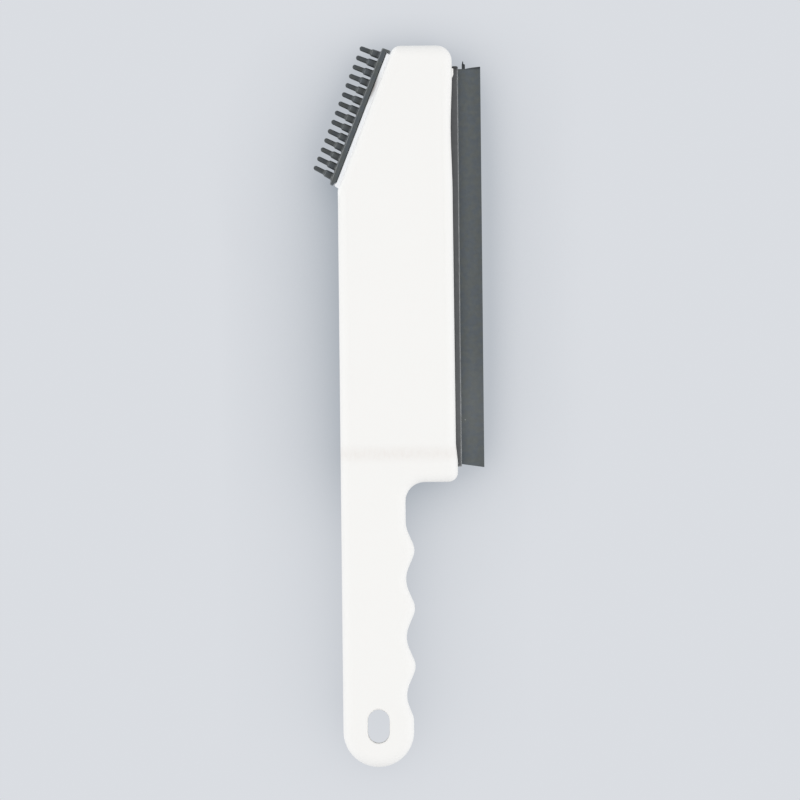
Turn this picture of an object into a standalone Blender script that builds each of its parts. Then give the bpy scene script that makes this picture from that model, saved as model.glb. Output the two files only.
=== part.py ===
"""Pet hair removal brush: two clamped shells, a rubber comb pad and a rubber squeegee.

Lengths are in metres. The drawing frame has x across the brush, y from the hanging end up
to the head and z through its thickness, with z = 0 on the parting plane of the shells and
x = y = 0 on the centre of the rounded hanging end. At the end the whole brush is laid with
its rear face on the ground and its middle over the origin.
"""
import math

import bmesh
import bpy
from mathutils import Matrix, Vector

# Whole body
BODY_LENGTH = 0.2882
HEAD_THICKNESS = 0.0250
HANDLE_THICKNESS = 0.0200
EDGE_ROUND = 0.0044
WALL = 0.0024
GAP = 0.0003

# Handle and finger grooves
HANG_END_RADIUS = 0.01415
NECK_REACH = 0.01165
CREST_REACH = 0.0150
FIRST_CREST = 0.0260
END_CORNER = 0.0054
END_CORNER_RADIUS = 0.0050
GROOVE_COUNT = 3
GROOVE_PITCH = 0.0232
GROOVE_DEPTH = 0.0034
GROOVE_RADIUS = 0.0115
CREST_RADIUS = 0.0065

# Hanging slot
SLOT_WIDTH = 0.0087
SLOT_LENGTH = 0.0135
SLOT_RISE = 0.0021
SLOT_RIM = 0.0010

# Head, with the flared low end, the bow and the shallow dip of its blade side
HEAD_WIDTH = 0.04587
SHOULDER_HEIGHT = 0.0996
SHOULDER_RADIUS = 0.0076
SHOULDER_CORNER = 0.0038
TOP_RIGHT_CORNER = 0.0062
TOP_LEFT_CORNER = 0.0040
END_FLARE = 0.0010
END_FLARE_RISE = 0.0084
FLARE_LENGTH = 0.0065
FLARE_RADIUS = 0.0080
BOW_DEPTH = 0.0003
BOW_LENGTH = 0.0450
DIP_DEPTH = 0.0006
DIP_FROM_TOP = 0.0325
DIP_LENGTH = 0.0225
DIP_RADIUS = 0.1800
DIP_END_RADIUS = 0.0500
DIP_RISE = 0.0188
TOP_FLARE = 0.0002
BLEND_LENGTH = 0.0090
BLEND_RISE = 0.0073
BLEND_CUTS = 8

# Slanted side that carries the comb pad, and the ledge on it with its nose
COMB_ANGLE = math.radians(21.7)
COMB_FOOT = 0.2167
COMB_FOOT_RADIUS = 0.0030
LAND_RISE = 0.00155
LAND_SETBACK = 0.0001
LAND_ROUND = 0.0006
LAND_END = 0.0036
NOSE_FOOT = 0.0004
NOSE_CHEEK = 0.0010
NOSE_TIP = 0.0016
NOSE_RISE = 0.0006
NOSE_RAMP = 0.0009

# Comb pad
PAD_THICKNESS = 0.0020
PAD_ROUND = 0.0005
PAD_EDGE_ROUND = 0.00025
PAD_OVERHANG = 0.0007
LIP_THICKNESS = 0.0010
ROW_PITCH = 0.0040
COLUMN_PITCH = 0.0038
ROW_MARGIN = 0.0029
COLUMN_MARGIN = 0.0022
FINGER_LENGTH = 0.0085
FINGER_BASE_LENGTH = 0.0034
FINGER_BASE_RADIUS = 0.00136
FINGER_TAPER = 0.00008
FINGER_SHOULDER = 0.0006
FINGER_RADIUS = 0.00088
FINGER_SIDES = 8
FIRST_LEAN = math.radians(6.0)
LAST_LEAN = math.radians(-0.5)

# Squeegee
SEAT_DEPTH = 0.0014
STRIP_THICKNESS = 0.0037
STRIP_WIDTH = 0.0100
STRIP_ROUND = 0.0008
STRIP_FOOT = 0.0060
STRIP_FROM_TOP = 0.0081
STRIP_LIP_WIDTH = 0.0140
STRIP_LIP_REACH = 0.00145
STRIP_LIP_RISE = 0.0002
STRIP_LIP_SETBACK = 0.0003
HOOK_REACH = 0.0008
HOOK_LENGTH = 0.0053
HOOK_RAMP = 0.0019
HOOK_ROUND = 0.0005
BLADE_REACH = 0.0090
BLADE_ROOT = 0.0022
BLADE_TIP = 0.0011
BLADE_LOW_SETBACK = 0.0010
BLADE_LOW_FLARE = 0.0013
BLADE_TOP_SETBACK = 0.0015
BLADE_TOP_FLARE = 0.0009
BLADE_FLARE_START = 0.0031
BLADE_FLARE_POWER = 0.6
BLADE_STEPS = 5

# Moulding gate left on the blade's top edge: a stub with a spike beside it
NIB_OFFSET = 0.0016
NIB_WIDTH = 0.0013
NIB_SPIKE = 0.00065
NIB_POINT = 0.0002
NIB_THICKNESS = 0.0011
NIB_POINT_THICKNESS = 0.0003
NIB_STUB = 0.0019
NIB_STEP = 0.0002
NIB_LENGTH = 0.0031

# Rails that the shells clamp
RAIL_NECK = 0.0030
RAIL_HEAD = 0.0080
RAIL_HEAD_DEPTH = 0.0020
RAIL_MARGIN = 0.0065
NECK_SETBACK = 0.0006

# Inside of the shells
RIB = 0.0016
RIB_PITCH = 0.0250
TONGUE_INSET = 0.0014
TONGUE_HEIGHT = 0.0012
BOSS_RADIUS = 0.0033
PIN_RADIUS = 0.0017
PIN_TIP_RADIUS = 0.0014
PIN_LENGTH = 0.0040
PIN_SIDES = 16
HANDLE_BOSS_LOW = 0.0300
HANDLE_BOSS_HIGH = 0.0780
HEAD_BOSS_FROM_SIDE = 0.0150
HEAD_BOSS_MARGIN = 0.0150
HEAD_BOSS_COUNT = 3

# Places that follow from the sizes
HEAD_TOP = BODY_LENGTH - HANG_END_RADIUS
SIDE_LEFT = -HANG_END_RADIUS
SIDE_RIGHT = SIDE_LEFT + HEAD_WIDTH
STRIP_LOW = SHOULDER_HEIGHT + STRIP_FOOT
STRIP_HIGH = HEAD_TOP - STRIP_FROM_TOP
SEAT_FLOOR = SIDE_RIGHT - SEAT_DEPTH
STRIP_BACK = SEAT_FLOOR + GAP
STRIP_FACE = STRIP_BACK + STRIP_THICKNESS
SLANT_LENGTH = (HEAD_TOP - COMB_FOOT) / math.cos(COMB_ANGLE)
LAND_TOP = SLANT_LENGTH - LAND_END
LAND_HALF = HEAD_THICKNESS / 2 - EDGE_ROUND - LAND_SETBACK
NOSE_TOP = NOSE_TIP + NOSE_RAMP
PAD_BACK = LAND_RISE + GAP
PAD_FACE = PAD_BACK + PAD_THICKNESS
PAD_LOW = NOSE_TIP - PAD_OVERHANG
PAD_HIGH = LAND_TOP + GAP + LIP_THICKNESS
BLEND_LOW = SHOULDER_HEIGHT + BLEND_RISE
FACE_DROP = (HEAD_THICKNESS - HANDLE_THICKNESS) / 2
CEILING = HEAD_THICKNESS / 2
STRIP_RAIL = (STRIP_LOW + RAIL_MARGIN, STRIP_HIGH - RAIL_MARGIN)
STRIP_RAIL_FACE = SIDE_RIGHT - WALL - GAP
PAD_RAIL = (PAD_LOW + RAIL_MARGIN, PAD_HIGH - RAIL_MARGIN)
PAD_RAIL_FACE = -WALL - GAP
RAIL_ROOM = WALL + GAP + RAIL_HEAD_DEPTH + GAP + RIB

# How finely curves are stepped, and how far the cutting tools reach past what they shape
ARC_SAG = 0.00004
EDGE_STEPS = 6
HOLLOW_STEPS = 2
RIM_STEPS = 3
SLAB_STEPS = 2
TIP_STEPS = 3
LEAST_RADIUS = 0.0003
MERGE = 0.000004
OVERSHOOT = 0.0020
HOLLOW_BASE = -2 * OVERSHOOT
KEEP_BASE = -3 * OVERSHOOT
SMOOTH_ANGLE = math.radians(35)

WHITE_PLASTIC = ("white_plastic", (0.91, 0.905, 0.89, 1.0), 0.42)
DARK_RUBBER = ("dark_rubber", (0.085, 0.090, 0.092, 1.0), 0.62)


def clear_scene():
    for item in list(bpy.data.objects):
        bpy.data.objects.remove(item, do_unlink=True)


def make_material(name, colour, roughness):
    material = bpy.data.materials.new(name)
    material.use_nodes = True
    shader = material.node_tree.nodes["Principled BSDF"]
    shader.inputs["Base Color"].default_value = colour
    shader.inputs["Roughness"].default_value = roughness
    shader.inputs["Metallic"].default_value = 0.0
    material.diffuse_color = colour
    return material


def object_from(bm, name, place=None):
    """Turn a finished bmesh into an object, in the drawing frame or at a placing matrix."""
    bmesh.ops.remove_doubles(bm, verts=bm.verts, dist=MERGE)
    bmesh.ops.recalc_face_normals(bm, faces=bm.faces)
    mesh = bpy.data.meshes.new(name)
    bm.to_mesh(mesh)
    bm.free()
    item = bpy.data.objects.new(name, mesh)
    bpy.context.scene.collection.objects.link(item)
    if place is not None:
        item.matrix_world = place
    return item


def merge_close_points(mesh):
    """Merge points that a boolean leaves closer together than any real detail."""
    bm = bmesh.new()
    bm.from_mesh(mesh)
    bmesh.ops.remove_doubles(bm, verts=bm.verts, dist=MERGE)
    bmesh.ops.dissolve_degenerate(bm, edges=bm.edges, dist=MERGE)
    bm.to_mesh(mesh)
    bm.free()


def boolean(target, tool, operation):
    """Shape the target with a tool, and use the tool up."""
    modifier = target.modifiers.new("shape", "BOOLEAN")
    modifier.object = tool
    modifier.operation = operation
    modifier.solver = "EXACT"
    bpy.context.view_layer.update()
    shaped = target.evaluated_get(bpy.context.evaluated_depsgraph_get())
    mesh = bpy.data.meshes.new_from_object(shaped)
    merge_close_points(mesh)
    target.modifiers.clear()
    target.data = mesh
    bpy.data.objects.remove(tool, do_unlink=True)


def join(target, tool):
    boolean(target, tool, "UNION")


def cut(target, tool):
    boolean(target, tool, "DIFFERENCE")


def add_box(bm, low, high):
    low, high = Vector(low), Vector(high)
    size = Matrix.Diagonal((*(high - low), 1.0))
    bmesh.ops.create_cube(bm, size=1.0, matrix=Matrix.Translation((low + high) / 2) @ size)


def box(name, low, high, place=None):
    """Upright block between two corners."""
    bm = bmesh.new()
    add_box(bm, low, high)
    return object_from(bm, name, place)


def loft(bm, loops):
    """Skin through closed loops of equal count, capped at both ends."""
    rings = [[bm.verts.new(point) for point in loop] for loop in loops]
    for lower, upper in zip(rings, rings[1:]):
        count = len(lower)
        for i in range(count):
            j = (i + 1) % count
            bm.faces.new((lower[i], lower[j], upper[j], upper[i]))
    bm.faces.new(list(reversed(rings[0])))
    bm.faces.new(rings[-1])


def moved_corner(before, corner, after, inset):
    """Where a corner goes when both of its edges move inwards."""
    way_in = (corner - before).normalized()
    way_out = (after - corner).normalized()
    normals = Vector((-way_in.y, way_in.x)) + Vector((-way_out.y, way_out.x))
    return corner + normals * inset / (1 + way_in.dot(way_out))


def turn_at(before, corner, after):
    """Signed change of direction at a corner, positive to the left."""
    way_in = corner - before
    way_out = after - corner
    return math.atan2(way_in.x * way_out.y - way_in.y * way_out.x, way_in.dot(way_out))


def arc_steps(radius, turn):
    """Steps round an arc that keep its chords within ARC_SAG of the true curve."""
    step = 2 * math.acos(1 - ARC_SAG / radius)
    return max(1, math.ceil(abs(turn) / step))


def outline(corners, inset=0.0):
    """Points of a counter-clockwise outline with rounded corners, moved inwards by inset.

    A corner is its x, y and radius.
    """
    count = len(corners)
    places = [Vector(corner[:2]) for corner in corners]
    around = [(i - 1, i, (i + 1) % count) for i in range(count)]
    turns = [turn_at(*(places[k] for k in near)) for near in around]
    moved = [moved_corner(*(places[k] for k in near), inset) for near in around]
    radii = [max(corner[2] - math.copysign(1, turn) * inset, LEAST_RADIUS)
             for corner, turn in zip(corners, turns)]
    reaches = [radius * math.tan(abs(turn) / 2) for radius, turn in zip(radii, turns)]
    points = []
    for before, i, after in around:
        room = min((moved[k] - moved[i]).length / (reaches[k] + reaches[i])
                   for k in (before, after))
        share = min(1.0, room)
        points += corner_arc(moved[before], moved[i], turns[i], radii[i] * share,
                             reaches[i] * share, arc_steps(corners[i][2], turns[i]))
    return points


def corner_arc(before, corner, turn, radius, reach, steps):
    """Points round one corner from the end of one edge to the start of the next."""
    way = (corner - before).normalized()
    start = corner - way * reach
    centre = start + Vector((-way.y, way.x)) * math.copysign(radius, turn)
    spoke = start - centre
    return [centre + spoke.copy() @ Matrix.Rotation(-turn * k / steps, 2)
            for k in range(steps + 1)]


def at_height(points, z):
    return [(point.x, point.y, z) for point in points]


def quarter_arc(steps):
    """Pairs of how far an edge has drawn in and risen, from nought to one, round a quarter."""
    angles = [math.pi / 2 * k / steps for k in range(steps + 1)]
    return [(1 - math.cos(angle), math.sin(angle)) for angle in angles]


def prism(name, corners, low, high, inset=0.0, place=None):
    """Straight-sided block over an outline."""
    bm = bmesh.new()
    loop = outline(corners, inset)
    loft(bm, [at_height(loop, low), at_height(loop, high)])
    return object_from(bm, name, place)


def slab(name, corners, half, rounding, place=None):
    """Block over an outline, as far above the parting plane as below, with rounded edges."""
    upper = [(rounding * inward, half - rounding + rounding * rise)
             for inward, rise in quarter_arc(SLAB_STEPS)]
    stations = [(inset, -level) for inset, level in reversed(upper)] + upper
    bm = bmesh.new()
    loft(bm, [at_height(outline(corners, inset), level) for inset, level in stations])
    return object_from(bm, name, place)


def groove_flank_angle():
    """Slope of the straight flank between a crest arc and a groove arc."""
    half = GROOVE_PITCH / 2
    both = GROOVE_RADIUS + CREST_RADIUS
    span = math.hypot(half, both - GROOVE_DEPTH)
    return math.atan2(half, both - GROOVE_DEPTH) - math.acos(min(1.0, both / span))


def grip_corners():
    """Corners of the finger side, from the hanging end up to the neck."""
    flank = groove_flank_angle()
    past_arc = 1 / math.cos(flank) - 1
    crest_x = CREST_REACH + CREST_RADIUS * past_arc
    groove_x = CREST_REACH - GROOVE_DEPTH - GROOVE_RADIUS * past_arc
    corners = [(HANG_END_RADIUS, -HANG_END_RADIUS, HANG_END_RADIUS),
               (HANG_END_RADIUS, END_CORNER, END_CORNER_RADIUS)]
    for k in range(GROOVE_COUNT):
        crest_y = FIRST_CREST + k * GROOVE_PITCH
        corners.append((groove_x, crest_y - GROOVE_PITCH / 2, GROOVE_RADIUS))
        corners.append((crest_x, crest_y, CREST_RADIUS))
    neck_y = crest_y + (crest_x - NECK_REACH) / math.tan(flank)
    corners.append((NECK_REACH, neck_y, GROOVE_RADIUS))
    return corners


def blade_side_corners(dip):
    """Corners of the long right side of the head."""
    low_end = SIDE_RIGHT + END_FLARE
    top_end = SIDE_RIGHT + TOP_FLARE
    flare = SHOULDER_HEIGHT + END_FLARE_RISE
    bow = flare + FLARE_LENGTH
    dip_y = HEAD_TOP - DIP_FROM_TOP
    return [
        (NECK_REACH, SHOULDER_HEIGHT, SHOULDER_RADIUS),
        (low_end, SHOULDER_HEIGHT, SHOULDER_CORNER),
        (low_end, flare, FLARE_RADIUS),
        (SIDE_RIGHT + BOW_DEPTH, bow, FLARE_RADIUS),
        (SIDE_RIGHT, bow + BOW_LENGTH, DIP_RADIUS),
        (SIDE_RIGHT, dip_y - DIP_LENGTH, DIP_END_RADIUS),
        (SIDE_RIGHT - dip, dip_y, DIP_RADIUS),
        (top_end, dip_y + DIP_RISE, DIP_END_RADIUS),
        (top_end, HEAD_TOP, TOP_RIGHT_CORNER),
    ]


def body_corners(dip=DIP_DEPTH):
    """The whole outline of the body, counter-clockwise from the hanging end."""
    slant_top = SIDE_LEFT + SLANT_LENGTH * math.sin(COMB_ANGLE)
    return grip_corners() + blade_side_corners(dip) + [
        (slant_top, HEAD_TOP, TOP_LEFT_CORNER),
        (SIDE_LEFT, COMB_FOOT, COMB_FOOT_RADIUS),
        (SIDE_LEFT, -HANG_END_RADIUS, HANG_END_RADIUS),
    ]


def slot_corners():
    """The hanging slot, a round-ended slot along the handle."""
    radius = SLOT_WIDTH / 2
    low = SLOT_RISE - SLOT_LENGTH / 2
    high = SLOT_RISE + SLOT_LENGTH / 2
    return [(radius, low, radius), (radius, high, radius),
            (-radius, high, radius), (-radius, low, radius)]


def ease(share):
    """Smooth rise from nought to one, straight between the cuts of the blend."""
    stage = min(max(share, 0.0), 1.0) * BLEND_CUTS
    whole = min(int(stage), BLEND_CUTS - 1)
    low, high = (k / BLEND_CUTS for k in (whole, whole + 1))
    smooth_low, smooth_high = (k * k * (3 - 2 * k) for k in (low, high))
    return smooth_low + (smooth_high - smooth_low) * (stage - whole)


def thin_to_handle(bm, above):
    """Lower the face from the head's height to the handle's over the blend."""
    for k in range(BLEND_CUTS + 1):
        level = BLEND_LOW + BLEND_LENGTH * k / BLEND_CUTS
        geometry = bm.verts[:] + bm.edges[:] + bm.faces[:]
        bmesh.ops.bisect_plane(bm, geom=geometry, dist=MERGE, plane_co=(0, level, 0),
                               plane_no=(0, 1, 0))
    for vert in bm.verts:
        if vert.co.z > above:
            share = (vert.co.y - BLEND_LOW) / BLEND_LENGTH
            vert.co.z -= FACE_DROP * (1 - ease(share))


def half_form(name, corners, inset, base, steps):
    """Half of the body's form: straight flank, rounded edge, flat face, thinner handle."""
    edge = EDGE_ROUND - inset
    top = CEILING - inset
    loops = [at_height(outline(corners, inset), base)]
    for inward, rise in quarter_arc(steps):
        loops.append(at_height(outline(corners, inset + edge * inward),
                               top - edge + edge * rise))
    bm = bmesh.new()
    loft(bm, loops)
    thin_to_handle(bm, (base + top - edge) / 2)
    return object_from(bm, name)


def slant_place():
    """Frame of the slanted side: x up along it, y out of it, z as the body's."""
    turn = Matrix.Rotation(math.pi / 2 - COMB_ANGLE, 4, "Z")
    return Matrix.Translation((SIDE_LEFT, COMB_FOOT, 0)) @ turn


def channel_corners(rail, face, outer):
    """U-shaped rib behind and round both ends of a rail, as places along and outwards."""
    back = face - RAIL_HEAD_DEPTH - GAP
    near_low, near_high = rail[0] - GAP, rail[1] + GAP
    far_low, far_high = near_low - RIB, near_high + RIB
    return [(far_low, back - RIB), (far_high, back - RIB), (far_high, outer),
            (near_high, outer), (near_high, back), (near_low, back), (near_low, outer),
            (far_low, outer)]


def strip_channel():
    """Rib round the squeegee's rail, taken out of the hollow."""
    corners = [(out, along, LEAST_RADIUS) for along, out
               in reversed(channel_corners(STRIP_RAIL, STRIP_RAIL_FACE, SIDE_RIGHT))]
    return prism("channel", corners, KEEP_BASE, CEILING)


def pad_channel():
    """Rib round the comb pad's rail, taken out of the hollow."""
    corners = [(along, out, LEAST_RADIUS) for along, out
               in channel_corners(PAD_RAIL, PAD_RAIL_FACE, 0.0)]
    return prism("channel", corners, KEEP_BASE, CEILING, place=slant_place())


def cross_ribs():
    """Stiffening ribs across the shell, clear above the rails."""
    above_rails = RAIL_HEAD / 2 + 3 * GAP
    level = SHOULDER_HEIGHT - GROOVE_COUNT * RIB_PITCH + RIB_PITCH / 2
    bm = bmesh.new()
    while level < HEAD_TOP - WALL:
        add_box(bm, (SIDE_LEFT, level, above_rails),
                (SIDE_RIGHT + END_FLARE, level + RIB, CEILING))
        level += RIB_PITCH
    return object_from(bm, "ribs")


def boss_places():
    """Centres of the bosses that line up the two shells, clear of the comb pad's rail."""
    handle_x = (NECK_REACH + SIDE_LEFT) / 2
    head_x = SIDE_RIGHT - HEAD_BOSS_FROM_SIDE
    slant_y = COMB_FOOT + (head_x - SIDE_LEFT) / math.tan(COMB_ANGLE)
    beside_rail = slant_y - (RAIL_ROOM + BOSS_RADIUS) / math.sin(COMB_ANGLE)
    low = SHOULDER_HEIGHT + HEAD_BOSS_MARGIN
    high = min(HEAD_TOP - HEAD_BOSS_MARGIN, beside_rail)
    head = [(head_x, low + (high - low) * k / (HEAD_BOSS_COUNT - 1))
            for k in range(HEAD_BOSS_COUNT)]
    return [(handle_x, HANDLE_BOSS_LOW), (handle_x, HANDLE_BOSS_HIGH)] + head


def round_bars(name, radius, low, high, tip_radius=None):
    """Round pegs or bores along z at every boss, with a narrowed lower end where given."""
    bm = bmesh.new()
    bottom = radius if tip_radius is None else tip_radius
    for centre in boss_places():
        place = Matrix.Translation((*centre, (low + high) / 2))
        bmesh.ops.create_cone(bm, cap_ends=True, segments=PIN_SIDES, radius1=bottom,
                              radius2=radius, depth=high - low, matrix=place)
    return object_from(bm, name)


def hollow():
    """The space inside a shell, less its ribs, rail channels, slot collar and bosses."""
    space = half_form("hollow", body_corners(dip=0.0), WALL, HOLLOW_BASE, HOLLOW_STEPS)
    cut(space, cross_ribs())
    cut(space, strip_channel())
    cut(space, pad_channel())
    cut(space, prism("collar", slot_corners(), KEEP_BASE, CEILING, -WALL))
    cut(space, round_bars("bosses", BOSS_RADIUS, KEEP_BASE, CEILING))
    return space


def land():
    """Ledge on the slanted side that the comb pad lies on, with the nose at its foot."""
    tip = LAND_RISE + NOSE_RISE
    places = [(NOSE_FOOT, -WALL / 2), (LAND_TOP, -WALL / 2), (LAND_TOP, LAND_RISE),
              (NOSE_TOP, LAND_RISE), (NOSE_TIP, tip), (NOSE_CHEEK, LAND_RISE)]
    corners = [(*place, LEAST_RADIUS) for place in places]
    return slab("land", corners, LAND_HALF, LAND_ROUND, slant_place())


def hook():
    """Tab on the blade side, under the squeegee's lip, that keeps the strip from lifting."""
    high = STRIP_HIGH + STRIP_LIP_RISE - LIP_THICKNESS / 2
    low = high - HOOK_LENGTH
    inside, outside = SIDE_RIGHT - WALL / 2, SIDE_RIGHT + HOOK_REACH
    corners = [(inside, low, LEAST_RADIUS), (SIDE_RIGHT, low, LEAST_RADIUS),
               (outside, low + HOOK_RAMP, LEAST_RADIUS), (outside, high, LEAST_RADIUS),
               (inside, high, LEAST_RADIUS)]
    return slab("hook", corners, STRIP_LIP_WIDTH / 2, HOOK_ROUND)


def slot_cutter():
    """The hanging slot with its mouth rounded outwards."""
    corners = slot_corners()
    top = HANDLE_THICKNESS / 2
    loops = [at_height(outline(corners), KEEP_BASE)]
    for inward, rise in quarter_arc(RIM_STEPS):
        loops.append(at_height(outline(corners, -SLOT_RIM * inward),
                               top - SLOT_RIM + SLOT_RIM * rise))
    loops.append(at_height(outline(corners, -SLOT_RIM), top + OVERSHOOT))
    bm = bmesh.new()
    loft(bm, loops)
    return object_from(bm, "slot_cutter")


def seat_cutters():
    """Seat of the squeegee, its lip's notch, and the openings that the rail necks pass."""
    neck = RAIL_NECK / 2 + GAP
    outside = SIDE_RIGHT + END_FLARE + OVERSHOOT
    short = NECK_SETBACK - GAP
    seat = box("seat", (SEAT_FLOOR, STRIP_LOW - GAP, KEEP_BASE),
               (outside, STRIP_HIGH + GAP, STRIP_WIDTH / 2 + GAP))
    notch = box("notch", (STRIP_BACK + STRIP_LIP_REACH - GAP,
                          STRIP_HIGH + STRIP_LIP_RISE - LIP_THICKNESS - GAP, KEEP_BASE),
                (outside, STRIP_HIGH + STRIP_LIP_RISE + GAP, STRIP_LIP_WIDTH / 2 + GAP))
    strip_neck = box("neck", (STRIP_RAIL_FACE - GAP, STRIP_RAIL[0] + short, KEEP_BASE),
                     (outside, STRIP_RAIL[1] - short, neck))
    pad_neck = box("neck", (PAD_RAIL[0] + short, PAD_RAIL_FACE - GAP, KEEP_BASE),
                   (PAD_RAIL[1] - short, LAND_RISE + OVERSHOOT, neck), slant_place())
    return [seat, notch, strip_neck, pad_neck]


def rim_ring(name, low, high, outer, inner):
    """Flat ring that runs round the body inside its outline."""
    corners = body_corners(dip=0.0)
    ring = prism(name, corners, low, high, outer)
    cut(ring, prism("core", corners, low - OVERSHOOT, high + OVERSHOOT, inner))
    return ring


def tongue():
    """Lip of the front shell that locates inside the rear shell's rim."""
    return rim_ring("tongue", -TONGUE_HEIGHT, OVERSHOOT, TONGUE_INSET, WALL - GAP / 2)


def rebate():
    """Ring cut into the rear shell's rim for the front shell's lip."""
    return rim_ring("rebate", -OVERSHOOT, TONGUE_HEIGHT + GAP, TONGUE_INSET - GAP,
                    WALL + GAP)


def finish_piece(piece, name, material):
    piece.name = name
    piece.data.name = name
    piece.data.materials.clear()
    piece.data.materials.append(material)
    piece.data.shade_smooth()
    piece.data.set_sharp_from_angle(angle=SMOOTH_ANGLE)
    return piece


def raw_shell():
    """What both shells share: outer form, ledge, hook and hollow, level at the parting plane."""
    shell = half_form("shell", body_corners(), 0.0, -OVERSHOOT, EDGE_STEPS)
    join(shell, land())
    join(shell, hook())
    cut(shell, hollow())
    far = BODY_LENGTH + HEAD_WIDTH
    cut(shell, box("below", (-far, -far, -far), (far, far, GAP / 2)))
    return shell


def cut_openings(shell):
    cut(shell, slot_cutter())
    for cutter in seat_cutters():
        cut(shell, cutter)


def front_shell(material):
    """Upper half, with the locating lip and pins."""
    shell = raw_shell()
    join(shell, tongue())
    cut_openings(shell)
    join(shell, round_bars("pins", PIN_RADIUS, -PIN_LENGTH, WALL, PIN_TIP_RADIUS))
    return finish_piece(shell, "front_shell", material)


def rear_shell(material):
    """Lower half, with the rim rebate and pin sockets, mirrored below the parting plane."""
    shell = raw_shell()
    cut(shell, rebate())
    cut_openings(shell)
    cut(shell, round_bars("sockets", PIN_RADIUS + GAP, -OVERSHOOT, PIN_LENGTH + GAP))
    shell.data.transform(Matrix.Scale(-1, 4, (0, 0, 1)))
    shell.data.flip_normals()
    return finish_piece(shell, "rear_shell", material)


def add_finger(bm, root, lean):
    """One stepped rubber finger standing on the pad, leaning along its length."""
    tip = FINGER_RADIUS - FINGER_TAPER
    profile = [(-PAD_THICKNESS / 2, FINGER_BASE_RADIUS),
               (FINGER_BASE_LENGTH, FINGER_BASE_RADIUS - FINGER_TAPER),
               (FINGER_BASE_LENGTH + FINGER_SHOULDER, FINGER_RADIUS)]
    profile += [(FINGER_LENGTH - tip + tip * rise, tip * (1 - inward))
                for inward, rise in quarter_arc(TIP_STEPS)[:-1]]
    loops = []
    for height, radius in profile:
        loop = []
        for k in range(FINGER_SIDES):
            angle = -2 * math.pi * k / FINGER_SIDES
            loop.append((root.x + height * math.sin(lean) + radius * math.cos(angle),
                         root.y + height * math.cos(lean),
                         root.z + radius * math.sin(angle)))
        loops.append(loop)
    loft(bm, loops)


def places_along(middle, length, margin, pitch):
    """Evenly pitched places, as many as fit a length between its margins."""
    count = 1 + int((length - 2 * margin + MERGE) / pitch)
    return [middle + (k - (count - 1) / 2) * pitch for k in range(count)]


def finger_field(place):
    """All fingers of the comb pad, in rows along the slant and columns across it."""
    rows = places_along((PAD_LOW + PAD_HIGH) / 2, PAD_HIGH - PAD_LOW, ROW_MARGIN, ROW_PITCH)
    columns = places_along(0.0, 2 * LAND_HALF, COLUMN_MARGIN, COLUMN_PITCH)
    bm = bmesh.new()
    for along in rows:
        share = (along - rows[0]) / (rows[-1] - rows[0])
        for across in columns:
            add_finger(bm, Vector((along, PAD_FACE, across)),
                       FIRST_LEAN + (LAST_LEAN - FIRST_LEAN) * share)
    return object_from(bm, "fingers", place)


def pad_corners():
    """Side view of the pad: plate, notch for the nose, and lip over the ledge's top end."""
    tip = PAD_BACK + NOSE_RISE
    return [(PAD_LOW, tip, LEAST_RADIUS), (NOSE_TIP + GAP / 2, tip, LEAST_RADIUS),
            (NOSE_TOP + GAP / 2, PAD_BACK, LEAST_RADIUS),
            (LAND_TOP + GAP, PAD_BACK, LEAST_RADIUS), (LAND_TOP + GAP, GAP, LEAST_RADIUS),
            (PAD_HIGH, GAP, LEAST_RADIUS), (PAD_HIGH, PAD_FACE, PAD_ROUND),
            (PAD_LOW, PAD_FACE, PAD_ROUND)]


def comb_pad(material):
    """Rubber pad: plate with its lip, clamped rail and fingers."""
    place = slant_place()
    pad = slab("comb_pad", pad_corners(), LAND_HALF, PAD_EDGE_ROUND, place)
    low, high = PAD_RAIL
    join(pad, box("neck", (low + NECK_SETBACK, PAD_RAIL_FACE - RAIL_HEAD_DEPTH / 2,
                           -RAIL_NECK / 2),
                  (high - NECK_SETBACK, PAD_BACK + PAD_THICKNESS / 2, RAIL_NECK / 2), place))
    join(pad, box("rail", (low, PAD_RAIL_FACE - RAIL_HEAD_DEPTH, -RAIL_HEAD / 2),
                  (high, PAD_RAIL_FACE, RAIL_HEAD / 2), place))
    join(pad, finger_field(place))
    return finish_piece(pad, "comb_pad", material)


def blade():
    """Thin blade whose lower end slopes out and whose upper end curves out past the gate."""
    low, high = STRIP_LOW + BLADE_LOW_SETBACK, STRIP_HIGH - BLADE_TOP_SETBACK
    curved = BLADE_REACH - BLADE_FLARE_START
    reaches = [-STRIP_THICKNESS / 2, 0.0]
    reaches += [BLADE_FLARE_START + curved * k / BLADE_STEPS for k in range(BLADE_STEPS + 1)]
    loops = []
    for reach in reaches:
        share = max(reach, 0.0) / BLADE_REACH
        rise = (max(reach - BLADE_FLARE_START, 0.0) / curved) ** BLADE_FLARE_POWER
        half = (BLADE_ROOT + (BLADE_TIP - BLADE_ROOT) * share) / 2
        x = STRIP_FACE + reach
        bottom, top = low - BLADE_LOW_FLARE * share, high + BLADE_TOP_FLARE * rise
        loops.append([(x, bottom, -half), (x, top, -half), (x, top, half), (x, bottom, half)])
    bm = bmesh.new()
    loft(bm, loops)
    return object_from(bm, "blade")


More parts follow.
